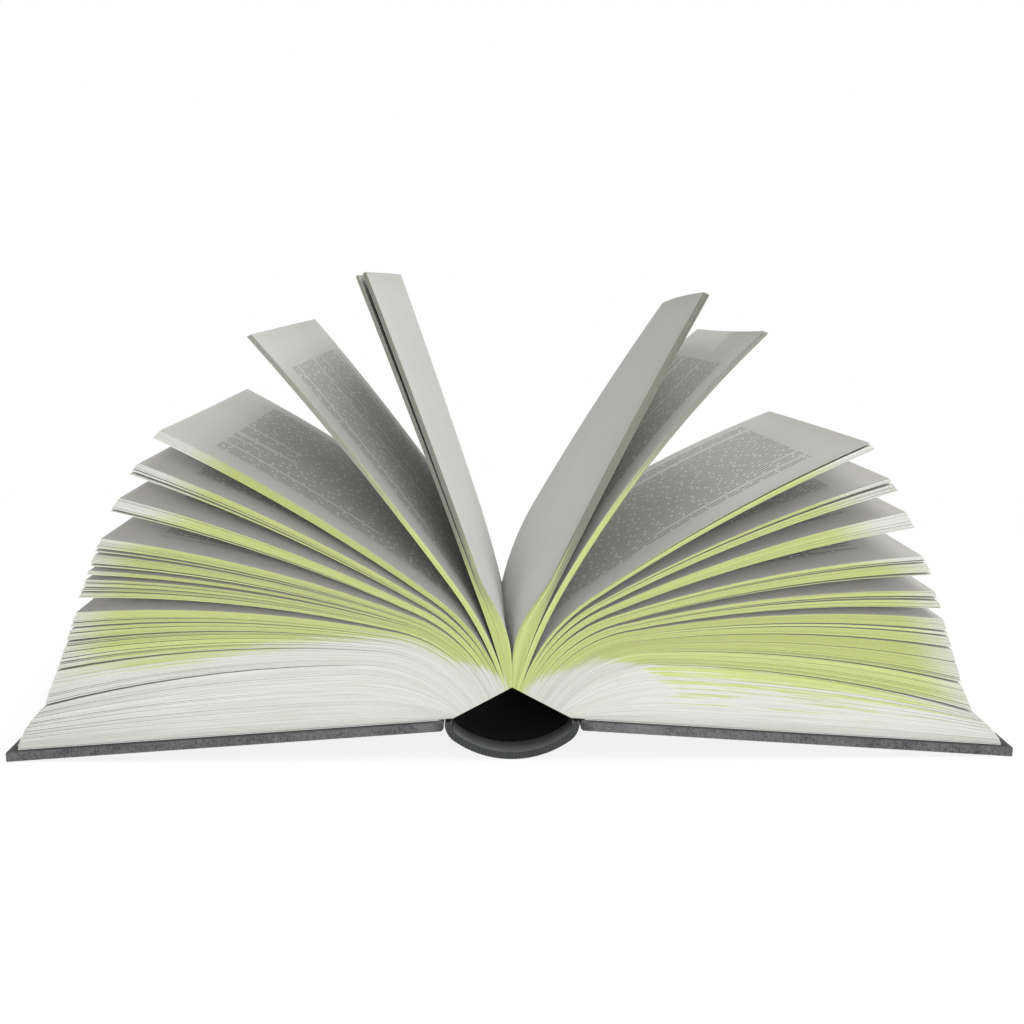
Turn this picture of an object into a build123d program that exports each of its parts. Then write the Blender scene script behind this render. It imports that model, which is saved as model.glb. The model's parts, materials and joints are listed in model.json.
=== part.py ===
from build123d import *
import os
from math import cos, radians, sin

# Open hardback book, lying on its back with its leaves fanned. Sizes are in millimetres, angles in degrees.
# X runs across the opening, Y from tail to head and Z up. The origin is on the table, under the spine's middle.

# Leaves
PAGE_WIDTH = 156.0  # from the back to the fore-edge, along the leaf
PAGE_HEIGHT = 234.0  # from tail to head
BLOCK_THICKNESS = 48.0  # all the leaves at the back, where they are sewn
BACK_RISE = 28.0  # slope of each half of the back, which folds up as the book opens
LOW_LEAF_RISE = 45.0  # slope at which the lowest leaf leaves the back
TOP_LEAF_RISE = 77.0  # slope at which the top leaf leaves the back
BEND_LENGTH = 42.0  # stretch next to the back in which a leaf bends over
BEND_SHARE = 0.78  # share of a leaf's whole turn that lies in that stretch
SLIT = 0.4  # gap between two groups of leaves where they start to part

# Case
BOARD_THICKNESS = 2.2
CLOTH_THICKNESS = 0.5
STIFFENER_THICKNESS = 1.6
LINING_THICKNESS = 0.8
PASTEDOWN_THICKNESS = 0.2
SQUARE = 3.5  # overhang of the cover past the leaves at tail, head and fore-edge
TURN_IN = 15.0  # covering folded over the edges of a board and of the spine
SPINE_SHOULDER = 8.0  # radius at which the flat round of the spine turns up to its edges
JOINT_WIDTH = 5.0  # from the back corner of the leaves to the cover's hinge line, along the cover
LINING_SHORTFALL = 12.0  # how far the lining stops short of the tail and the head of the leaves
COVER_TILT = 3.8  # each cover slopes down to its fore-edge, which lies on the table
PAGE_CLEARANCE = 0.2  # lowest leaf above the pastedown
HINGE_CLEARANCE = 0.4  # spine edge to the round inner edge of the cover

# Groups of leaves from the cover upwards: number of leaves, then the slope of the line from the back to the
# fore-edge for the lowest and for the highest leaf of the group.
LEFT_FAN = [
    (46, -COVER_TILT, 1.1),
    (42, 1.4, 5.3),
    (28, 5.6, 8.8),
    (24, 9.1, 12.6),
    (16, 14.6, 16.9),
    (18, 17.6, 22.4),
    (13, 26.3, 28.0),
    (11, 31.5, 33.0),
    (10, 36.9, 38.1),
    (12, 54.7, 54.9),
    (20, 70.6, 70.7),
]
RIGHT_FAN = [
    (48, -COVER_TILT, -0.4),
    (40, -0.1, 2.9),
    (31, 3.2, 7.3),
    (25, 7.6, 11.2),
    (16, 12.6, 14.8),
    (19, 17.1, 19.5),
    (12, 23.5, 25.6),
    (10, 28.7, 30.4),
    (7, 34.9, 35.8),
    (12, 55.7, 55.9),
    (20, 64.4, 64.5),
]

# Sizes that follow from those above
cover_thickness = BOARD_THICKNESS + 2 * CLOTH_THICKNESS
nose = cover_thickness / 2  # radius of the cover's round inner edge, about the hinge line
cover_reach = PAGE_WIDTH - JOINT_WIDTH + SQUARE
cover_height = PAGE_HEIGHT + 2 * SQUARE
leaf_seat = nose + PASTEDOWN_THICKNESS + PAGE_CLEARANCE  # lowest leaf above the hinge line
spine_gap = nose + HINGE_CLEARANCE  # hinge line to the spine's edge
spine_thickness = STIFFENER_THICKNESS + 2 * CLOTH_THICKNESS


def along(slope):
    """Unit vector in the section, rising outwards at the slope."""
    return Vector(cos(radians(slope)), 0, sin(radians(slope)))


def normal(slope):
    """Upward unit vector square to a line that rises outwards at the slope."""
    return Vector(-sin(radians(slope)), 0, cos(radians(slope)))


def mirrored(point):
    return Vector(-point.X, point.Y, point.Z)


back_half = along(-BACK_RISE) * (BLOCK_THICKNESS / 2)
hinge = Vector(
    back_half.X - (along(-COVER_TILT) * -JOINT_WIDTH + normal(-COVER_TILT) * leaf_seat).X,
    0,
    -(along(-COVER_TILT) * cover_reach - normal(-COVER_TILT) * nose).Z,
)


def in_cover(out, up):
    """Point of the section by its distance out from the right hinge line and up from the cover's mid-plane."""
    return hinge + along(-COVER_TILT) * out + normal(-COVER_TILT) * up


back_corner = in_cover(-JOINT_WIDTH, leaf_seat)
back_top = back_corner - back_half
flat_tip = in_cover(PAGE_WIDTH - JOINT_WIDTH, leaf_seat)
spine_edge = in_cover(-spine_gap, leaf_seat - LINING_THICKNESS)
shoulder = spine_edge - Vector(SPINE_SHOULDER, 0, 0)  # centre of the right shoulder
spine_radius = (shoulder.X**2 + shoulder.Z**2 - SPINE_SHOULDER**2) / (2 * (shoulder.Z - SPINE_SHOULDER))


def arc_end(start, slope, turn, length):
    """End of an arc of this length that sets out at the slope and turns down by turn degrees."""
    half = radians(turn / 2)
    chord = length * sin(half) / half if half else length
    return start + along(slope - turn / 2) * chord


def leaf_point(leaf, run):
    """Point of a leaf at this distance along it from the back: a close arc, then a flatter one."""
    root, slope, turn = leaf
    bend = turn * BEND_SHARE
    if run <= BEND_LENGTH:
        return arc_end(root, slope, bend * run / BEND_LENGTH, run)
    rest = (turn - bend) * (run - BEND_LENGTH) / (PAGE_WIDTH - BEND_LENGTH)
    return arc_end(arc_end(root, slope, bend, BEND_LENGTH), slope - bend, rest, run - BEND_LENGTH)


def bisect(low, high, is_low):
    """Value between low and high where is_low stops being true."""
    while high - low > 1e-7:
        middle = (low + high) / 2
        if is_low(middle):
            low = middle
        else:
            high = middle
    return high


def leaf(share, tip_slope):
    """Root, slope at the root and whole turn of the leaf at this share of the half-back's thickness, counted from
    the cover, whose fore-edge is seen from its root at the tip slope."""
    root = back_corner - back_half * share
    slope = LOW_LEAF_RISE + (TOP_LEAF_RISE - LOW_LEAF_RISE) * share

    def too_high(turn):
        tip = leaf_point((root, slope, turn), PAGE_WIDTH) - root
        return tip.dot(normal(tip_slope)) > 0

    limit = 2 * (slope - tip_slope)
    return root, slope, bisect(min(0, limit), max(0, limit), too_high)


def leaf_edges(leaf, start):
    """Arcs of a leaf from this distance along it out to its fore-edge."""
    stops = [run for run in (start, BEND_LENGTH, PAGE_WIDTH) if run >= start]
    runs = [(low, (low + high) / 2, high) for low, high in zip(stops, stops[1:])]
    return [ThreePointArc(*[leaf_point(leaf, run) for run in stretch]) for stretch in runs]


def parting(gap):
    """Distance from the back at which the gap between two leaves reaches the width of a slit."""
    return bisect(0, PAGE_WIDTH, lambda run: gap(run) < SLIT)


def slit(first, second):
    """Edges from the fore-edge of one leaf in to where it parts from the next, and out along that one."""

    def gap(run):
        below, above = leaf_point(first, run), leaf_point(second, run)
        return min((above - below).length, below.X, above.X)  # a slit stays on its own side of the gutter

    start = parting(gap)
    floor = Line(leaf_point(first, start), leaf_point(second, start))
    return leaf_edges(first, start) + [floor] + leaf_edges(second, start)


def fan_edges(fan):
    """Edges of one side from the back corner to the fore-edge of its top leaf, and that leaf."""
    leaves = sum(group[0] for group in fan)
    edges = [Line(back_corner, flat_tip)]
    below, tip, share = None, flat_tip, 0.0
    for count, lowest, highest in fan:
        if below:
            lower = leaf(share, lowest)
            edges += slit(below, lower)
            tip = leaf_point(lower, PAGE_WIDTH)
        share += count / leaves
        below = leaf(share, highest)
        edges.append(Line(tip, leaf_point(below, PAGE_WIDTH)))
    return edges, below


def gutter(right, left):
    """Edges of the V between the two top leaves, down to where they part."""
    start = parting(lambda run: leaf_point(right, run).X + leaf_point(left, run).X)
    floor = Line(leaf_point(right, start), mirrored(leaf_point(left, start)))
    return leaf_edges(right, start) + [floor] + [edge.mirror(Plane.YZ) for edge in leaf_edges(left, start)]


def text_block():
    """All leaves as one solid: an outline with a slit between each two groups, drawn from tail to head."""
    right, right_top = fan_edges(RIGHT_FAN)
    left, left_top = fan_edges(LEFT_FAN)
    edges = right + gutter(right_top, left_top)
    edges += [edge.mirror(Plane.YZ) for edge in left]
    edges += [Line(mirrored(back_corner), back_top), Line(back_top, back_corner)]
    return extrude(Face(Wire(edges)), PAGE_HEIGHT / 2, dir=(0, 1, 0), both=True)


def section_extrude(points, length):
    """Closed straight-sided section, drawn out to both sides of the middle."""
    return extrude(Face(Wire.make_polygon(points)), length / 2, dir=(0, 1, 0), both=True)


def spine_lining():
    """Lining under the folded-up back, with a flange under the lowest leaves on each side."""
    mitre = normal(-BACK_RISE) + normal(-COVER_TILT)
    inner_corner = back_corner - mitre * (LINING_THICKNESS / (1 + normal(-BACK_RISE).dot(normal(-COVER_TILT))))
    inner_top = back_top - Vector(0, 0, LINING_THICKNESS / cos(radians(BACK_RISE)))
    half = [back_corner, in_cover(-spine_gap, leaf_seat), spine_edge, inner_corner]
    points = [back_top, *half, inner_top, *[mirrored(point) for point in reversed(half)]]
    return section_extrude(points, PAGE_HEIGHT - 2 * LINING_SHORTFALL)


def spine_core(depth, length):
    """All that lies inside this depth below the outer face of the spine: a flat round between two shoulders, with
    upright sides, cut off under the lining's flanges."""
    reach = in_cover(cover_reach, leaf_seat - LINING_THICKNESS)
    crest = in_cover(-hinge.X, leaf_seat - LINING_THICKNESS)
    lean = (shoulder - Vector(0, 0, spine_radius)).normalized()
    outwards = Vector(1, 0, 0)
    radius = SPINE_SHOULDER - depth
    foot, side = shoulder + lean * radius, shoulder + outwards * radius
    top = Vector(side.X, 0, crest.Z)
    rise = [ThreePointArc(foot, shoulder + (lean + outwards).normalized() * radius, side), Line(side, top)]
    edges = [ThreePointArc(mirrored(foot), Vector(0, 0, depth), foot), *rise, Line(top, mirrored(top))]
    edges += [edge.mirror(Plane.YZ) for edge in reversed(rise)]
    below = -Vector(0, 0, spine_radius)
    right = [crest, reach, reach + below]
    flanges = [*right, *[mirrored(point) for point in reversed(right)]]
    return extrude(Face(Wire(edges)), length / 2, dir=(0, 1, 0), both=True) & section_extrude(flanges, length)


def spine_layer(outside, inside, length):
    """Curved layer of the spine between two depths below its outer face."""
    return spine_core(outside, length) - spine_core(inside, length)


def spine_stiffener():
    return spine_layer(CLOTH_THICKNESS, CLOTH_THICKNESS + STIFFENER_THICKNESS, cover_height - 2 * CLOTH_THICKNESS)


def spine_cloth():
    """Covering outside the stiffener, round its two ends and folded in along its inner face."""
    whole = spine_layer(0, spine_thickness, cover_height)
    window = spine_layer(spine_thickness - CLOTH_THICKNESS, spine_thickness, cover_height - 2 * TURN_IN)
    return whole - spine_stiffener() - window


def cover_slab(thickness, reach, length):
    """Flat slab with a half-round inner edge about the hinge line, in the cover's own frame."""
    slab = Pos(reach / 2, 0, 0) * Box(reach, length, thickness)
    return slab + Rot(90, 0, 0) * Cylinder(thickness / 2, length)


def sheet(start, end, length, bottom, top):
    """Flat sheet in the cover's own frame."""
    middle = Pos((start + end) / 2, 0, (bottom + top) / 2)
    return middle * Box(end - start, length, top - bottom)


def board():
    return cover_slab(BOARD_THICKNESS, cover_reach - CLOTH_THICKNESS, cover_height - 2 * CLOTH_THICKNESS)


def window():
    """Space inside the turn-ins on the inner face of the board, which the pastedown fills."""
    return sheet(spine_gap, cover_reach - TURN_IN, cover_height - 2 * TURN_IN, BOARD_THICKNESS / 2, nose)


def cover_cloth():
    """Covering outside the board, round its edges and folded in on its inner face."""
    return cover_slab(cover_thickness, cover_reach, cover_height) - board() - window()


def pastedown():
    """Endpaper glued down over the turn-ins, leaving the square of covering in view."""
    return window() + sheet(0, cover_reach - SQUARE, PAGE_HEIGHT, nose, nose + PASTEDOWN_THICKNESS)


parts = {
    "text_block": text_block(),
    "spine_lining": spine_lining(),
    "spine_stiffener": spine_stiffener(),
    "spine_cloth": spine_cloth(),
}
right_cover_frame = Location(hinge, (0, COVER_TILT, 0))
for name, piece in {"board": board(), "cover_cloth": cover_cloth(), "pastedown": pastedown()}.items():
    parts["right_" + name] = right_cover_frame * piece
    parts["left_" + name] = mirror(right_cover_frame * piece, about=Plane.YZ)

os.makedirs("parts", exist_ok=True)
for name, part in parts.items():
    export_step(part, f"parts/{name}.step")
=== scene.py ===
"""Open hardback with fanned leaves: leaves, finishes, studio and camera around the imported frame. Metres."""
import json
import math

import bpy
import numpy as np
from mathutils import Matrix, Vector


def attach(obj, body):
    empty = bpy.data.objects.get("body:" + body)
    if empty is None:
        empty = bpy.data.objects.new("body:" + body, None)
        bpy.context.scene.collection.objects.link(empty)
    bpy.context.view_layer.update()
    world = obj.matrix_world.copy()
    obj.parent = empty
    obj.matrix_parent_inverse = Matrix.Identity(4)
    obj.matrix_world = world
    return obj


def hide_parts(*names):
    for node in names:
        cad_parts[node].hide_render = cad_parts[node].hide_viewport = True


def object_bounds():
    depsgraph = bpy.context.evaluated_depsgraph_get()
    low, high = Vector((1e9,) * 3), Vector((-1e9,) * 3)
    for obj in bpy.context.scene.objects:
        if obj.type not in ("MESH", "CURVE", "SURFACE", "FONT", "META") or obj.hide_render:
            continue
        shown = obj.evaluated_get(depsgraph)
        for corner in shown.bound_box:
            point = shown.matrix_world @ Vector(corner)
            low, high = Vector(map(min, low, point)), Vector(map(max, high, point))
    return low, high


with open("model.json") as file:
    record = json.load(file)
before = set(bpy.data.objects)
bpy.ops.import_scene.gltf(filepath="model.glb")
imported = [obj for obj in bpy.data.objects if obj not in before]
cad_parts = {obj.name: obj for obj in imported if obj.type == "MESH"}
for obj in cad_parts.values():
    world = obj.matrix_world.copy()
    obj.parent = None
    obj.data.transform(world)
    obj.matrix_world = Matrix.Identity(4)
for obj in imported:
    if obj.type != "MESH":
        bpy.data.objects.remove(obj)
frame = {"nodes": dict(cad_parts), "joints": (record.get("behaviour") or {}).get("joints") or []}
cad_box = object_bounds()

# Leaves, with the sizes of the part's source
PAGE_WIDTH = 0.156
PAGE_HEIGHT = 0.234
HALF_BACK = 0.024
BACK_RISE = 28.0
LOW_LEAF_RISE = 45.0
TOP_LEAF_RISE = 77.0
BEND_LENGTH = 0.042
BEND_SHARE = 0.78
COVER_TILT = 3.8
JOINT_WIDTH = 0.005
LEAF_SEAT = 0.002
# Groups of leaves from the cover up: number of leaves, slope of the lowest and slope of the highest, both at
# the fore-edge. The top group of the left side is parted in two
LEFT_FAN = [
    (46, -COVER_TILT, 1.1),
    (42, 1.4, 5.3),
    (28, 5.6, 8.8),
    (24, 9.1, 12.6),
    (16, 14.6, 16.9),
    (18, 17.6, 22.4),
    (13, 26.3, 28.0),
    (11, 31.5, 33.0),
    (10, 36.9, 38.1),
    (12, 54.7, 54.9),
    (8, 70.3, 70.35),
    (12, 70.95, 71.0),
]
RIGHT_FAN = [
    (48, -COVER_TILT, -0.4),
    (40, -0.1, 2.9),
    (31, 3.2, 7.3),
    (25, 7.6, 11.2),
    (16, 12.6, 14.8),
    (19, 17.1, 19.5),
    (12, 23.5, 25.6),
    (10, 28.7, 30.4),
    (7, 34.9, 35.8),
    (12, 55.7, 55.9),
    (20, 64.4, 64.5),
]
# Groups that share one piece, by their number from the cover: the pressed stack, the loose top of it and the
# leaves that stand free
STACKS = {"stack": (0, 6), "loose_leaves": (6, 9), "free_leaves": (9, 12)}

# How evenly the leaves lie, with thickness and gaps counted in leaves. Gaps are full from the free slope up,
# and smaller below it, down to the pressed share
SEED = 11
PAPER_SPREAD = (0.85, 1.15)
CLUMP_CHANCE = 0.15
CLUMP_GAP = (1.4, 4.5)
SMALL_GAP = 0.2
FREE_SLOPE = 12.0
PRESSED = 0.2
TRIM_JITTER = 0.00012
SWAY_SHARE = 0.22
SWAY_LIMIT = 1.6
# Twist of the upper groups, from the top of the fan down: change of slope from tail to head
LEFT_TWIST = [1.1, 1.1, 0.9, 0.7, 0.3]
RIGHT_TWIST = [-4.2, -2.6, -2.0, -1.0, -0.4]
# Groups that bow more evenly, by their number from the top of the fan: share of their turn in the close arc
RIGHT_BEND = {1: 0.45}
# The topmost leaves, from this share up, are held together at the tail up to the first distance from the
# back, and are free from the second on
HELD_SHARE = 0.9
HELD_RUN = (0.006, 0.042)

# Points along a leaf, in its close arc and beyond, and along its height
BEND_POINTS = 11
FLAT_POINTS = 10
HEIGHT_POINTS = 9
bend_runs = np.linspace(0, BEND_LENGTH, BEND_POINTS)
flat_runs = np.linspace(BEND_LENGTH, PAGE_WIDTH, FLAT_POINTS)
RUNS = np.concatenate([bend_runs, flat_runs[1:]])
STATIONS = np.linspace(-0.5, 0.5, HEIGHT_POINTS)
# Search for a leaf's turn: widest turn for each degree that its fore-edge falls, least turn, halvings
WIDEST_TURN = 2.2
LEAST_TURN = 1e-3
HALVINGS = 40
# Faces that meet at a larger angle than this keep a sharp edge
SHARP_ANGLE = 60

# Print: rows of word-long dashes inside the margins. Half the height of the ink is a share of the pitch. Some
# rows end a paragraph, and the next one is indented
GUTTER_MARGIN = 0.019
FORE_MARGIN = 0.017
TAIL_MARGIN = 0.026
HEAD_MARGIN = 0.019
LINE_PITCH = 0.0047
INK_HALF_HEIGHT = 0.2
WORD_LENGTH = 0.0085
WORD_GAP = 0.0011
LAST_LINE_CHANCE = 0.17
LAST_LINE_CUT = 0.085
INDENT = 0.006
# Strength of the ink and of the browner rim of a page: share of a noise, and constant part
INK_STRENGTH = (0.35, 0.38)
RIM_STRENGTH = (0.5, 0.2)
RIM_WIDTH = 0.011
# Steps that keep the chances of leaves, of rows and of a row's two draws apart
LEAF_STEP = 97.0
ROW_STEP = 17.31
DRAW_STEP = 0.37

# Cut edges. Heights are shares of the half-back from the cover, runs are shares of the leaf from the back.
# Edges are cream above a limit, which changes along the run: side, start and end of the change, change
# Below the limit the edges are pale, a painted highlight that stands for over-lit edges
CREAM_LIMIT = 0.32
LIMIT_CHANGES = [
    ("both", 0.14, 0.0, 0.36),
    ("both", 0.7, 1.0, 0.07),
    ("left", 0.75, 0.1, 0.24),
    ("right", 0.24, 0.12, 0.12),
    ("right", 0.15, 0.28, -0.19),
]
LIMIT_BLUR = 0.03
# How far streaks and single leaves move the limit, and its constant part
LIMIT_STREAKS = 0.3
LIMIT_LEAVES = (0.1, -0.2)
# Where cream ends before the fore-edge, and how much sooner it ends in the loose leaves
CREAM_RUN = (1.03, 0.88)
LOOSE_HEIGHT = (0.70, 0.76)
LOOSE_SHIFT = 0.08
# Painted shade: where the free leaves' edges are grey, and how much nearer the back it starts in the top
# group and by chance
PAINTED_SHADE_HEIGHT = (0.862, 0.872)
PAINTED_SHADE_RUN = (0.6, 0.74)
TOP_HEIGHT = (0.912, 0.922)
TOP_SHIFT = 0.3
LEAF_SHIFT = 0.2
# Streaks: steps of their noise along x, along y and from leaf to leaf, range that shows, and strength
STREAK_STEPS = (30.0, 30.0, 50.0)
STREAK_RANGE = (0.42, 0.7)
STREAK_STRENGTH = 0.25
DUST_STRENGTH = 0.2

# Cloth, paste and rounding of the case
THREAD_PITCH = 0.0006
LINING_PITCH = 0.0011
THREAD_RANGE = (0.2, 0.9)
SPECK_HEIGHT = 0.8
# Rubbed rim of the covers: real wear, and a painted highlight of their lit edges
WEAR_AND_HIGHLIGHT_WIDTH = 0.003
WEAR_AND_HIGHLIGHT_RANGE = (0.25, 0.7)
WEAR_AND_HIGHLIGHT_STRENGTH = 0.75
SPINE_EDGE = (0.024, 0.03)
FACING_UP = (0.2, 0.6)
PASTE_HEIGHT = 2.0
SPINE_ROUNDING = 0.0002
COVER_ROUNDING = 0.0004
ROUNDING_SEGMENTS = 3
ROUNDED_FROM = 40
WELD_DISTANCE = 1e-6

# Colours, in pairs where a noise or a tone runs between the two
WHITE = (1, 1, 1, 1)
PAPER = (0.80, 0.797, 0.775, 1), (0.87, 0.868, 0.85, 1)
PAPER_RIM = (0.74, 0.725, 0.66, 1)
INK = (0.06, 0.06, 0.062, 1)
# Pale edges: a painted highlight that stands for over-lit cut edges, where they are not cream
PAINTED_HIGHLIGHT_EDGE = (0.66, 0.66, 0.645, 1), (0.725, 0.725, 0.712, 1)
CREAM_EDGE = (0.455, 0.515, 0.175, 1), (0.605, 0.685, 0.262, 1)
# Grey edges: painted shade on the free leaves' edges, darker in the top group
PAINTED_SHADE_EDGE = (0.30, 0.30, 0.285, 1), (0.19, 0.19, 0.18, 1)
STREAK = (0.36, 0.39, 0.2, 1)
EDGE_DUST = (0.40, 0.42, 0.27, 1)
CLOTH = (0.022, 0.023, 0.024, 1), (0.044, 0.046, 0.047, 1)
THREAD = (0.062, 0.064, 0.066, 1)
# Rubbed cloth: real wear that also paints a highlight on the lit outer edges of the covers
WEAR_AND_HIGHLIGHT_CLOTH = (0.21, 0.21, 0.215, 1)
# Paler cloth on the faces that face up near the spine: a painted highlight
PAINTED_HIGHLIGHT_CLOTH = (0.13, 0.133, 0.137, 1), (0.22, 0.224, 0.228, 1)
# Near-black lining: painted shade of the spine's hollow
PAINTED_SHADE_LINING = (0.006, 0.006, 0.006, 1), (0.015, 0.015, 0.015, 1)
# Near-black board: painted shade of the spine's hollow, and hidden in the covers
PAINTED_SHADE_CARD = (0.010, 0.010, 0.010, 1), (0.026, 0.026, 0.025, 1)
ENDPAPER = (0.80, 0.80, 0.78, 1), (0.87, 0.87, 0.855, 1)

# Noise: scale, detail, roughness
PAPER_FIBRE = (900.0, 4.0, 0.7)
PAPER_CLOUD = (28.0, 3.0, 0.5)
EDGE_STREAK = (1.0, 3.0, 0.5)
EDGE_GRAIN = (1500.0, 3.0, 0.5)
CLOTH_CLOUD = (45.0, 4.0, 0.6)
CLOTH_SPECK = (1100.0, 2.0, 0.5)
LINING_CLOUD = (60.0, 3.0, 0.5)
CARD_FIBRE = (700.0, 4.0, 0.7)
PASTE_CLOUD = (22.0, 4.0, 0.6)

# Studio: floor, ambient light, and lamps with their place, size and power
FLOOR_SIDES = 96
FLOOR_RADIUS = 6.0
FLOOR_DROP = 0.0001
FLOOR_COLOUR = (0.86, 0.86, 0.86, 1)
SHADOW_SHARE = (0.3, 0.3, 0.3, 1)
CLEAR_SHARE = (0.84, 0.84, 0.84, 1)
SHADOW_FADE = (0.25, 0.6)
AMBIENT = 0.36
LAMP_TARGET = (0, 0, 0.07)
LAMPS = {
    "front_light": ((0.25, -2.0, 0.3), 0.6, 26.0),
    "top_light": ((1.0, 0.1, 2.0), 1.8, 15.0),
}

# Camera, at the photograph's distance, height and slope
CAMERA_PLACE = (-0.0135, -0.7505, 0.1671)
CAMERA_DROP = 7.05
CAMERA_TURN = -1.22
CAMERA_RANGE = (0.01, 50.0)
FOCAL_PIXELS = 1804
IMAGE_PIXELS = 1024
SENSOR = 36.0


def along(slope):
    """Unit vectors of the section, out and up, at slopes in degrees."""
    angle = np.radians(slope)
    return np.stack([np.cos(angle), np.sin(angle)], -1)


right_hinge = next(joint for joint in frame["joints"] if joint["name"] == "right_cover_hinge")
hinge = np.array([right_hinge["pos_m"][0], right_hinge["pos_m"][2]])
back_corner = hinge - along(-COVER_TILT) * JOINT_WIDTH + along(90 - COVER_TILT) * LEAF_SEAT
half_back = along(-BACK_RISE) * HALF_BACK


def arc(slope, turn, length):
    """Offset from start to end of an arc that sets out at the slope and turns down by turn degrees."""
    half = np.radians(turn) / 2
    return along(slope - turn / 2) * (length * np.sinc(half / np.pi))[..., None]


def bent(slope, turn, runs, bend_share):
    """Points along a leaf from its root: a close arc next to the back, then a flatter one."""
    near = np.minimum(runs, BEND_LENGTH)
    far = runs - near
    bend = turn * bend_share
    flat = (turn - bend) * far / (PAGE_WIDTH - BEND_LENGTH)
    return arc(slope, bend * near / BEND_LENGTH, near) + arc(slope - bend, flat, far)


def ease(value, low, high):
    """0 below low, 1 above high, eased between."""
    t = np.clip((value - low) / (high - low), 0, 1)
    return t * t * (3 - 2 * t)


TAIL_HOLD = np.outer((0.5 - STATIONS) ** 2, 1 - ease(RUNS, *HELD_RUN))


def leaf_surface(share, slope, tips, runs, bend_share):
    """Points (station, run, 2) of a leaf whose fore-edge lies at these slopes, seen from its root."""
    low = np.zeros_like(tips)
    high = WIDEST_TURN * np.maximum(slope - tips, 0) + LEAST_TURN
    end = np.full_like(tips, PAGE_WIDTH)
    for _ in range(HALVINGS):
        middle = (low + high) / 2
        tip = bent(slope, middle, end, bend_share)
        above = (tip * along(tips + 90)).sum(-1) > 0
        low = np.where(above, middle, low)
        high = np.where(above, high, middle)
    offset = bent(slope, high[:, None], runs[None, :], bend_share)
    offset[..., 0] *= 1 - TAIL_HOLD * ease(share, HELD_SHARE, 1)
    return back_corner - half_back * share + offset


def spread(count, lowest, highest, rng):
    """Slopes of the lower and upper face of each leaf of a group at the fore-edge, with gaps that come in
    clumps, closer in the leaves that lie pressed on the cover, and a tone for each clump."""
    looseness = min(max(lowest / FREE_SLOPE, PRESSED), 1)
    paper = rng.uniform(*PAPER_SPREAD, count)
    air = rng.exponential(SMALL_GAP * looseness, count)
    clumps = rng.random(count) < CLUMP_CHANCE
    air += np.where(clumps, rng.uniform(*CLUMP_GAP, count) * looseness, 0)
    air[-1] = 0
    stops = np.concatenate([[0], np.cumsum(paper + air)])
    scale = (highest - lowest) / stops[-1]
    lower = lowest + stops[:-1] * scale
    clump = np.concatenate([[0], np.cumsum(clumps[:-1])])
    return lower, lower + paper * scale, rng.random(count)[clump]


def leaf_faces():
    """Corner indices of one leaf's faces, and which of them are page faces, the upper page first."""
    rows, columns = len(STATIONS), len(RUNS)
    low = np.arange(rows * columns).reshape(rows, columns)
    top = low + rows * columns

    def quads(a, b, c, d):
        return np.stack([a.ravel(), b.ravel(), c.ravel(), d.ravel()], 1)

    pages = [
        quads(top[:-1, :-1], top[:-1, 1:], top[1:, 1:], top[1:, :-1]),
        quads(low[1:, :-1], low[1:, 1:], low[:-1, 1:], low[:-1, :-1]),
    ]
    edges = [
        quads(low[:-1, -1], low[1:, -1], top[1:, -1], top[:-1, -1]),
        quads(low[1:, 0], low[:-1, 0], top[:-1, 0], top[1:, 0]),
        quads(low[0, :-1], low[0, 1:], top[0, 1:], top[0, :-1]),
        quads(low[-1, 1:], low[-1, :-1], top[-1, :-1], top[-1, 1:]),
    ]
    faces = np.concatenate(pages + edges)
    is_page = np.arange(len(faces)) < sum(len(part) for part in pages)
    return faces, is_page


LEAF_FACES, IS_PAGE = leaf_faces()
FACES_OF_A_PAGE = (len(STATIONS) - 1) * (len(RUNS) - 1)


def fan_leaves(fan, twists, bends, rng):
    """For each group of a fan, its leaves as (lower points, upper points, share of the half-back, tone)."""
    total = sum(group[0] for group in fan)
    lowest_share = fan[0][0] / total
    lift = TOP_LEAF_RISE - LOW_LEAF_RISE

    def root_slope(share):
        """Slope at which a leaf leaves the back. The lowest group starts along the cover."""
        if share >= lowest_share:
            return LOW_LEAF_RISE + lift * share
        first = LOW_LEAF_RISE + lift * lowest_share
        return -COVER_TILT + (first + COVER_TILT) * share / lowest_share

    gaps = [b[1] - a[2] for a, b in zip(fan, fan[1:])]
    share = 0.0
    groups = []
    for number, (count, lowest, highest) in enumerate(fan):
        room = min(gaps[max(number - 1, 0)], gaps[min(number, len(gaps) - 1)], SWAY_LIMIT)
        from_top = len(fan) - 1 - number
        twist = twists[from_top] if from_top < len(twists) else 0
        bend_share = bends.get(from_top, BEND_SHARE)
        sway = twist * (STATIONS + 0.5) + rng.uniform(-1, 1) * room * SWAY_SHARE * (4 * STATIONS**2 - 1)
        lower, upper, tones = spread(count, lowest, highest, rng)
        leaves = []
        for low_tip, high_tip, tone in zip(lower, upper, tones):
            next_share = share + 1 / total
            runs = RUNS * (1 + rng.normal(0, TRIM_JITTER / PAGE_WIDTH))
            below = leaf_surface(share, root_slope(share), low_tip + sway, runs, bend_share)
            above = leaf_surface(next_share, root_slope(next_share), high_tip + sway, runs, bend_share)
            leaves.append((below, above, next_share, tone))
            share = next_share
        groups.append(leaves)
    return groups


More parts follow.
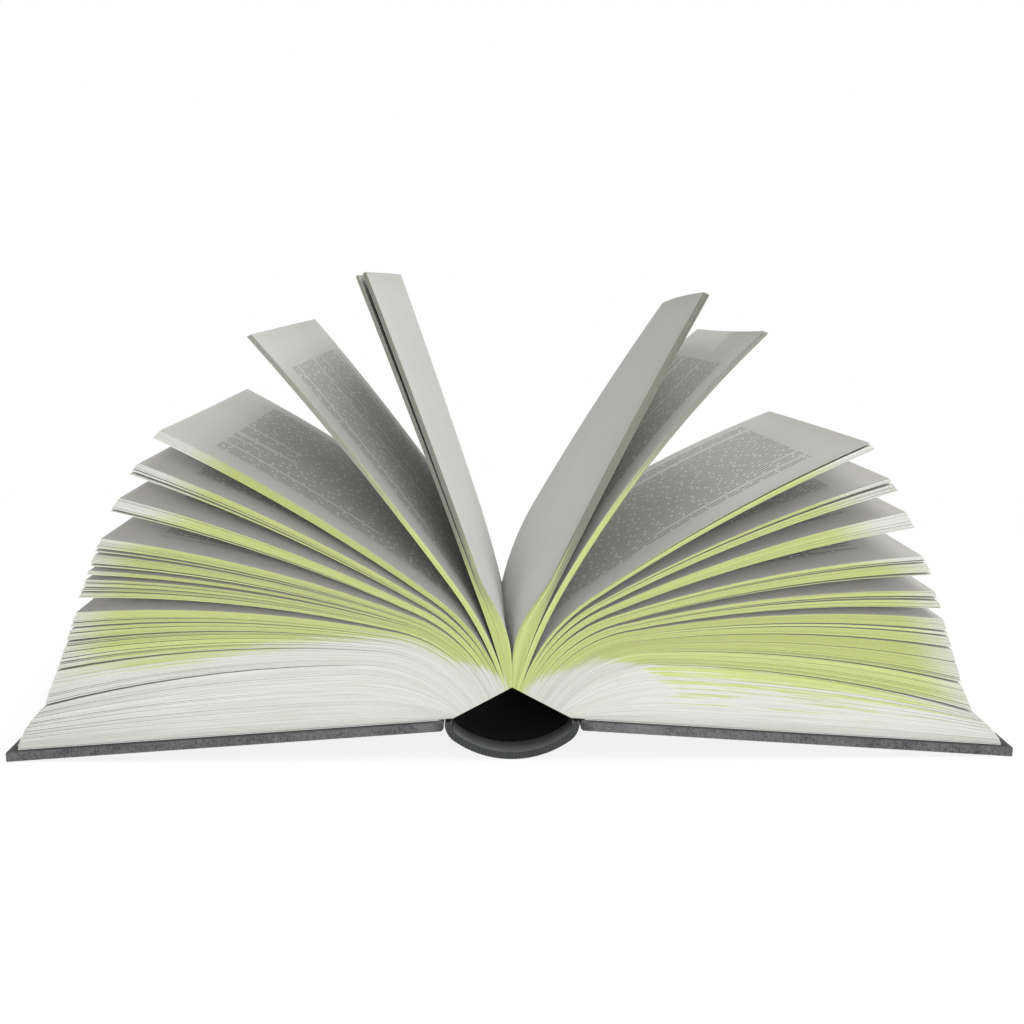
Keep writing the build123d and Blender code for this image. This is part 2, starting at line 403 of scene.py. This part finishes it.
def leaf_object(name, leaves, side, facing, rng):
    """One mesh of closed leaves, with page faces and cut edges in two materials. If facing, the upper face of
    the last leaf is an open page, without print."""
    heights = STATIONS * PAGE_HEIGHT
    points, faces = [], []
    u, v = np.meshgrid(RUNS / PAGE_WIDTH, STATIONS + 0.5)
    per_leaf = 2 * u.size
    for number, (below, above, _, _) in enumerate(leaves):
        y = np.broadcast_to((heights + rng.normal(0, TRIM_JITTER))[:, None], u.shape)
        for surface in (below, above):
            points.append(np.stack([side * surface[..., 0], y, surface[..., 1]], -1).reshape(-1, 3))
        faces.append(LEAF_FACES + number * per_leaf)
    points, faces = np.concatenate(points), np.concatenate(faces)
    if side < 0:
        faces = faces[:, ::-1]
    mesh = bpy.data.meshes.new(name)
    mesh.from_pydata(points.tolist(), [], faces.tolist())
    layer = mesh.uv_layers.new(name="page")
    corner = np.stack([u, v], -1).reshape(-1, 2)
    corner = np.concatenate([corner, corner])[faces.ravel() % per_leaf]
    layer.data.foreach_set("uv", corner.ravel().astype(np.float32))
    is_page = np.tile(IS_PAGE, len(leaves))
    mesh.polygons.foreach_set("material_index", np.where(is_page, 0, 1).astype(np.int32))
    mesh.polygons.foreach_set("use_smooth", is_page)
    mesh.set_sharp_from_angle(angle=math.radians(SHARP_ANGLE))
    shares, tones = np.array([leaf[2:] for leaf in leaves]).T
    for attribute, values in (("height", shares), ("tone", tones), ("leaf", rng.random(len(leaves)))):
        data = mesh.attributes.new(attribute, "FLOAT", "FACE").data
        data.foreach_set("value", np.repeat(values, len(LEAF_FACES)).astype(np.float32))
    printed = np.ones(len(faces))
    if facing:
        last = len(faces) - len(LEAF_FACES)
        printed[last : last + FACES_OF_A_PAGE] = 0
    mesh.attributes.new("print", "FLOAT", "FACE").data.foreach_set("value", printed.astype(np.float32))
    mesh.update()
    piece = bpy.data.objects.new(name, mesh)
    bpy.context.scene.collection.objects.link(piece)
    return piece


class Finish:
    """A node material, built by short calls that take numbers, colours or sockets."""

    def __init__(self, name, roughness, specular):
        self.material = bpy.data.materials.new(name)
        self.material.use_nodes = True
        self.nodes = self.material.node_tree.nodes
        self.links = self.material.node_tree.links
        self.shader = self.nodes["Principled BSDF"]
        self.shader.inputs["Roughness"].default_value = roughness
        self.shader.inputs["Specular IOR Level"].default_value = specular

    def add(self, kind, inputs=None, **settings):
        node = self.nodes.new("ShaderNode" + kind)
        for key, value in settings.items():
            setattr(node, key, value)
        for key, value in (inputs or {}).items():
            self.set(node.inputs[key], value)
        return node

    def set(self, socket, value):
        if isinstance(value, bpy.types.NodeSocket):
            self.links.new(value, socket)
        else:
            socket.default_value = value

    def math(self, operation, *values):
        node = self.add("Math", operation=operation)
        for socket, value in zip(node.inputs, values):
            self.set(socket, value)
        return node.outputs[0]

    def smooth(self, value, low, high):
        """0 below low, 1 above high, eased between; low may be the larger."""
        node = self.add("MapRange", interpolation_type="SMOOTHSTEP")
        for key, item in (("Value", value), ("From Min", low), ("From Max", high)):
            self.set(node.inputs[key], item)
        return node.outputs["Result"]

    def mix(self, share, first, second):
        node = self.add("Mix", data_type="RGBA")
        sockets = [node.inputs[0], node.inputs[6], node.inputs[7]]
        for socket, value in zip(sockets, (share, first, second)):
            self.set(socket, value)
        return node.outputs[2]

    def noise(self, vector, scale, detail, roughness):
        inputs = {"Vector": vector, "Scale": scale, "Detail": detail, "Roughness": roughness}
        return self.add("TexNoise", inputs).outputs["Fac"]

    def attribute(self, name):
        return self.add("Attribute", attribute_name=name).outputs["Fac"]

    def place(self):
        return self.add("TexCoord").outputs["Object"]

    def page_place(self):
        """Place on the leaf: shares of its width from the back and of its height from the tail."""
        return self.split(self.add("UVMap", uv_map="page").outputs[0])

    def split(self, vector):
        return self.add("SeparateXYZ", {"Vector": vector}).outputs

    def join(self, *values):
        node = self.add("CombineXYZ")
        for socket, value in zip(node.inputs, values):
            self.set(socket, value)
        return node.outputs[0]

    def bump(self, height, distance, strength):
        inputs = {"Height": height, "Distance": distance, "Strength": strength}
        self.set(self.shader.inputs["Normal"], self.add("Bump", inputs).outputs[0])

    def colour(self, value):
        self.set(self.shader.inputs["Base Color"], value)


def print_share(look, out, up):
    """1 where a page has ink: rows of words between the margins, some of them short or indented."""
    leaf = look.math("MULTIPLY", look.attribute("leaf"), LEAF_STEP)
    line = look.math("DIVIDE", up, LINE_PITCH)
    row = look.math("FLOOR", line)
    in_row = look.math("ABSOLUTE", look.math("SUBTRACT", look.math("FRACT", line), 0.5))

    def chance(of_row):
        draw = look.add("TexWhiteNoise", {"Vector": look.join(of_row, leaf, 0.0)}, noise_dimensions="3D")
        return draw.outputs["Value"]

    last = look.math("LESS_THAN", chance(row), LAST_LINE_CHANCE)
    cut = look.math("MULTIPLY", chance(look.math("ADD", row, DRAW_STEP)), LAST_LINE_CUT)
    end = look.math("SUBTRACT", PAGE_WIDTH - FORE_MARGIN, look.math("MULTIPLY", last, cut))
    above_last = look.math("LESS_THAN", chance(look.math("ADD", row, 1.0)), LAST_LINE_CHANCE)
    start = look.math("MULTIPLY_ADD", above_last, INDENT, GUTTER_MARGIN)
    words = look.math("DIVIDE", out, WORD_LENGTH)
    words = look.math("ADD", words, look.math("MULTIPLY_ADD", row, ROW_STEP, leaf))
    lengths = {"voronoi_dimensions": "1D", "feature": "DISTANCE_TO_EDGE"}
    to_gap = look.add("TexVoronoi", {"W": words, "Scale": 1.0}, **lengths).outputs["Distance"]
    ink = look.math("GREATER_THAN", to_gap, WORD_GAP / WORD_LENGTH / 2)
    limits = [
        look.math("LESS_THAN", in_row, INK_HALF_HEIGHT),
        look.math("GREATER_THAN", out, start),
        look.math("LESS_THAN", out, end),
        look.math("GREATER_THAN", up, TAIL_MARGIN),
        look.math("LESS_THAN", up, PAGE_HEIGHT - HEAD_MARGIN),
        look.attribute("print"),
    ]
    for limit in limits:
        ink = look.math("MULTIPLY", ink, limit)
    return ink


def page_finish():
    """Uncoated paper with rows of word-long dashes, a little browner along its trimmed edges."""
    look = Finish("page_paper", roughness=0.88, specular=0.2)
    u, v, _ = look.page_place()
    out = look.math("MULTIPLY", u, PAGE_WIDTH)
    up = look.math("MULTIPLY", v, PAGE_HEIGHT)
    fibre = look.noise(look.place(), *PAPER_FIBRE)
    cloud = look.noise(look.place(), *PAPER_CLOUD)
    to_end = look.math("MINIMUM", up, look.math("SUBTRACT", PAGE_HEIGHT, up))
    inset = look.math("MINIMUM", look.math("SUBTRACT", PAGE_WIDTH, out), to_end)
    brown = look.math("MULTIPLY_ADD", cloud, *RIM_STRENGTH)
    rim = look.math("MULTIPLY", look.smooth(inset, RIM_WIDTH, 0.0), brown)
    paper = look.mix(rim, look.mix(cloud, *PAPER), PAPER_RIM)
    strength = look.math("MULTIPLY_ADD", fibre, *INK_STRENGTH)
    ink = look.math("MULTIPLY", print_share(look, out, up), strength)
    look.colour(look.mix(ink, paper, INK))
    look.bump(fibre, distance=0.00006, strength=0.5)
    return look.material


def edge_finish():
    """Cut edges of the leaves: cream, white with a painted highlight in the leaves near the covers and along
    the back, grey with painted shade at the fore-edge of the free leaves, with streaks along each leaf."""
    look = Finish("page_edges", roughness=0.9, specular=0.15)
    x, y, _ = look.split(look.place())
    leaf, tone, height = look.attribute("leaf"), look.attribute("tone"), look.attribute("height")
    run = look.page_place()[0]
    streak_place = [look.math("MULTIPLY", *pair) for pair in zip((x, y, leaf), STREAK_STEPS)]
    streak = look.noise(look.join(*streak_place), *EDGE_STREAK)
    grain = look.noise(look.place(), *EDGE_GRAIN)

    right = look.math("GREATER_THAN", x, 0.0)
    sides = {"both": 1.0, "left": look.math("SUBTRACT", 1.0, right), "right": right}
    limit = CREAM_LIMIT
    for side, start, end, change in LIMIT_CHANGES:
        step = look.math("MULTIPLY", look.smooth(run, start, end), sides[side])
        limit = look.math("MULTIPLY_ADD", step, change, limit)
    by_leaf = look.math("MULTIPLY_ADD", leaf, *LIMIT_LEAVES)
    uneven = look.math("MULTIPLY_ADD", streak, LIMIT_STREAKS, by_leaf)
    above = look.math("SUBTRACT", look.math("ADD", height, uneven), limit)
    to_fore = look.math("MULTIPLY_ADD", look.smooth(height, *LOOSE_HEIGHT), LOOSE_SHIFT, run)
    is_above = look.smooth(above, -LIMIT_BLUR, LIMIT_BLUR)
    cream = look.math("MULTIPLY", is_above, look.smooth(to_fore, *CREAM_RUN))
    # Where the edges are not cream, the pale colour is a painted highlight of over-lit edges
    base = look.mix(cream, look.mix(tone, *PAINTED_HIGHLIGHT_EDGE), look.mix(tone, *CREAM_EDGE))

    # Painted shade: the free leaves' edges turn grey towards the fore-edge, darker in the top group
    top = look.smooth(height, *TOP_HEIGHT)
    from_back = look.math("MULTIPLY_ADD", leaf, LEAF_SHIFT, run)
    from_back = look.math("MULTIPLY_ADD", top, TOP_SHIFT, from_back)
    painted_shade = look.math("MULTIPLY", look.smooth(height, *PAINTED_SHADE_HEIGHT), look.smooth(from_back, *PAINTED_SHADE_RUN))
    base = look.mix(painted_shade, base, look.mix(top, *PAINTED_SHADE_EDGE))
    streaked = look.mix(STREAK_STRENGTH, base, STREAK)
    base = look.mix(look.smooth(streak, *STREAK_RANGE), base, streaked)
    look.colour(look.mix(look.math("MULTIPLY", grain, DUST_STRENGTH), base, EDGE_DUST))
    look.bump(grain, distance=0.0001, strength=0.6)
    return look.material


def weave(look, pitch):
    """Height of a plain weave that shows on faces of any direction."""
    x, y, z = look.split(look.place())
    turn = math.pi / pitch
    across = look.math("SINE", look.math("MULTIPLY", look.math("ADD", x, z), turn))
    down = look.math("SINE", look.math("MULTIPLY", look.math("ADD", y, z), turn))
    return look.math("MULTIPLY", across, down)


def cloth_finish():
    """Dark book cloth, rubbed lighter along the covers' outer edges, a wear that also paints a highlight on
    these lit edges, and paler inside the spine's ends, a painted highlight on the faces that face up.
    """
    look = Finish("book_cloth", roughness=0.78, specular=0.3)
    x, y, _ = look.split(look.place())
    half_width, half_height, _ = cad_box[1]
    thread = weave(look, THREAD_PITCH)
    cloud = look.noise(look.place(), *CLOTH_CLOUD)
    speck = look.noise(look.place(), *CLOTH_SPECK)
    from_middle = look.math("ABSOLUTE", x)
    to_ends = look.math("SUBTRACT", half_height, look.math("ABSOLUTE", y))
    to_fore = look.math("SUBTRACT", half_width, from_middle)
    # Rubbed rim: real wear that is also a painted highlight on the lit edges
    rim = look.smooth(look.math("MINIMUM", to_ends, to_fore), WEAR_AND_HIGHLIGHT_WIDTH, 0.0)
    beside_spine = look.smooth(from_middle, *SPINE_EDGE)
    mean = look.math("MULTIPLY_ADD", speck, 0.5, look.math("MULTIPLY", cloud, 0.5))
    patch = look.smooth(mean, *WEAR_AND_HIGHLIGHT_RANGE)
    wear_and_highlight = look.math("MULTIPLY", look.math("MULTIPLY", rim, beside_spine), patch)
    base = look.mix(cloud, *CLOTH)
    base = look.mix(look.smooth(thread, *THREAD_RANGE), base, THREAD)
    base = look.mix(look.math("MULTIPLY", wear_and_highlight, WEAR_AND_HIGHLIGHT_STRENGTH), base, WEAR_AND_HIGHLIGHT_CLOTH)
    # Painted highlight: the faces that face up near the spine are paler
    normal = look.split(look.add("NewGeometry").outputs["Normal"])
    faces_up = look.smooth(normal[2], *FACING_UP)
    painted_highlight = look.math("MULTIPLY", faces_up, look.math("SUBTRACT", 1.0, beside_spine))
    look.colour(look.mix(painted_highlight, base, look.mix(cloud, *PAINTED_HIGHLIGHT_CLOTH)))
    relief = look.math("MULTIPLY_ADD", speck, SPECK_HEIGHT, thread)
    look.bump(relief, distance=0.00008, strength=0.7)
    return look.material


def lining_finish():
    """Open-weave lining, glued down, near-black as a painted shade of the spine's hollow."""
    look = Finish("spine_lining", roughness=0.85, specular=0.2)
    look.colour(look.mix(look.noise(look.place(), *LINING_CLOUD), *PAINTED_SHADE_LINING))
    look.bump(weave(look, LINING_PITCH), distance=0.00012, strength=0.8)
    return look.material


def card_finish():
    """Board with pressed fibres, for the covers and the hollow of the spine, near-black as a painted shade of
    the hollow.
    """
    look = Finish("grey_board", roughness=0.85, specular=0.2)
    fibre = look.noise(look.place(), *CARD_FIBRE)
    look.colour(look.mix(fibre, *PAINTED_SHADE_CARD))
    look.bump(fibre, distance=0.0001, strength=0.6)
    return look.material


def endpaper_finish():
    """White endpaper, glued down, with faint clouds of paste."""
    look = Finish("endpaper", roughness=0.85, specular=0.2)
    cloud = look.noise(look.place(), *PASTE_CLOUD)
    fibre = look.noise(look.place(), *PAPER_FIBRE)
    look.colour(look.mix(cloud, *ENDPAPER))
    relief = look.math("MULTIPLY_ADD", cloud, PASTE_HEIGHT, fibre)
    look.bump(relief, distance=0.00008, strength=0.6)
    return look.material


def dress(node, material, rounding=0.0):
    """Gives a node of the frame its finish, and rounds its sharp edges."""
    piece = frame["nodes"][node]
    piece.data.materials.clear()
    piece.data.materials.append(material)
    if rounding:
        weld = piece.modifiers.new("weld", "WELD")
        weld.merge_threshold = WELD_DISTANCE
        bevel = piece.modifiers.new("rounded_edges", "BEVEL")
        bevel.width = rounding
        bevel.segments = ROUNDING_SEGMENTS
        bevel.limit_method = "ANGLE"
        bevel.angle_limit = math.radians(ROUNDED_FROM)
        bevel.harden_normals = True


def build_leaves():
    rng = np.random.default_rng(SEED)
    page, edge = page_finish(), edge_finish()
    sides = [
        ("left", -1, LEFT_FAN, LEFT_TWIST, {}),
        ("right", 1, RIGHT_FAN, RIGHT_TWIST, RIGHT_BEND),
    ]
    for side_name, side, fan, twists, bends in sides:
        groups = fan_leaves(fan, twists, bends, rng)
        for stack, (first, last) in STACKS.items():
            leaves = [leaf for group in groups[first:last] for leaf in group]
            piece = leaf_object(side_name + "_" + stack, leaves, side, last >= len(fan), rng)
            piece.data.materials.append(page)
            piece.data.materials.append(edge)
            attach(piece, "book_block")
            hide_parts("text_block")


def dress_case():
    cloth, card, endpaper = cloth_finish(), card_finish(), endpaper_finish()
    dress("spine_cloth", cloth, SPINE_ROUNDING)
    dress("spine_lining", lining_finish())
    dress("spine_stiffener", card)
    for side in ("left", "right"):
        dress(side + "_cover_cloth", cloth, COVER_ROUNDING)
        dress(side + "_board", card)
        dress(side + "_pastedown", endpaper)


def build_floor():
    """White floor that keeps the soft shadow near the book and fades to plain white away from it. The view
    goes on through it to the white world, so that a cover folded down past it still shows."""
    place = (0, 0, -FLOOR_DROP)
    bpy.ops.mesh.primitive_circle_add(
        vertices=FLOOR_SIDES, radius=FLOOR_RADIUS, fill_type="NGON", location=place
    )
    floor = bpy.context.object
    floor.name = "floor"
    look = Finish("floor_white", roughness=0.9, specular=0.0)
    look.colour(FLOOR_COLOUR)
    distance = look.add("VectorMath", {0: look.place()}, operation="LENGTH").outputs["Value"]
    shade = look.add("BsdfDiffuse", {"Color": SHADOW_SHARE}).outputs[0]
    below = look.add("BsdfTransparent", {"Color": CLEAR_SHARE}).outputs[0]
    near = look.add("AddShader", {0: shade, 1: below}).outputs[0]
    far = look.add("BsdfTransparent", {"Color": WHITE}).outputs[0]
    seen = look.add("MixShader", {0: look.smooth(distance, *SHADOW_FADE), 1: near, 2: far}).outputs[0]
    rays = look.add("LightPath").outputs
    mirrored = look.math("MAXIMUM", rays["Is Glossy Ray"], rays["Is Transmission Ray"])
    view = look.math("MAXIMUM", rays["Is Camera Ray"], mirrored)
    mixed = look.add("MixShader", {0: view, 1: look.shader.outputs[0], 2: seen}).outputs[0]
    look.set(look.nodes["Material Output"].inputs["Surface"], mixed)
    floor.data.materials.append(look.material)


def build_world():
    """Even ambient light, with plain white behind the book."""
    world = bpy.data.worlds.new("studio")
    bpy.context.scene.world = world
    world.use_nodes = True
    nodes, links = world.node_tree.nodes, world.node_tree.links
    ambient = nodes["Background"]
    ambient.inputs["Color"].default_value = WHITE
    ambient.inputs["Strength"].default_value = AMBIENT
    white = nodes.new("ShaderNodeBackground")
    white.inputs["Color"].default_value = WHITE
    white.inputs["Strength"].default_value = 1.0
    rays = nodes.new("ShaderNodeLightPath").outputs
    seen = rays["Is Camera Ray"]
    for kind in ("Is Glossy Ray", "Is Transmission Ray"):
        either = nodes.new("ShaderNodeMath")
        either.operation = "MAXIMUM"
        links.new(seen, either.inputs[0])
        links.new(rays[kind], either.inputs[1])
        seen = either.outputs[0]
    mix = nodes.new("ShaderNodeMixShader")
    links.new(seen, mix.inputs[0])
    links.new(ambient.outputs[0], mix.inputs[1])
    links.new(white.outputs[0], mix.inputs[2])
    links.new(mix.outputs[0], nodes["World Output"].inputs["Surface"])


def add_light(name, place, size, power):
    light = bpy.data.lights.new(name, "AREA")
    light.shape = "DISK"
    light.size = size
    light.energy = power
    lamp = bpy.data.objects.new(name, light)
    bpy.context.scene.collection.objects.link(lamp)
    lamp.location = place
    lamp.rotation_euler = (Vector(LAMP_TARGET) - Vector(place)).to_track_quat("-Z", "Y").to_euler()


def build_studio():
    build_floor()
    build_world()
    for name, (place, size, power) in LAMPS.items():
        add_light(name, place, size, power)


def build_camera():
    camera = bpy.data.cameras.new("camera")
    camera.sensor_width = SENSOR
    camera.lens = FOCAL_PIXELS / IMAGE_PIXELS * SENSOR
    camera.clip_start, camera.clip_end = CAMERA_RANGE
    holder = bpy.data.objects.new("camera", camera)
    bpy.context.scene.collection.objects.link(holder)
    holder.location = CAMERA_PLACE
    holder.rotation_euler = (math.radians(90 - CAMERA_DROP), 0, math.radians(CAMERA_TURN))
    bpy.context.scene.camera = holder


build_leaves()
dress_case()
build_studio()
build_camera()
bpy.context.scene.view_settings.view_transform = "Standard"
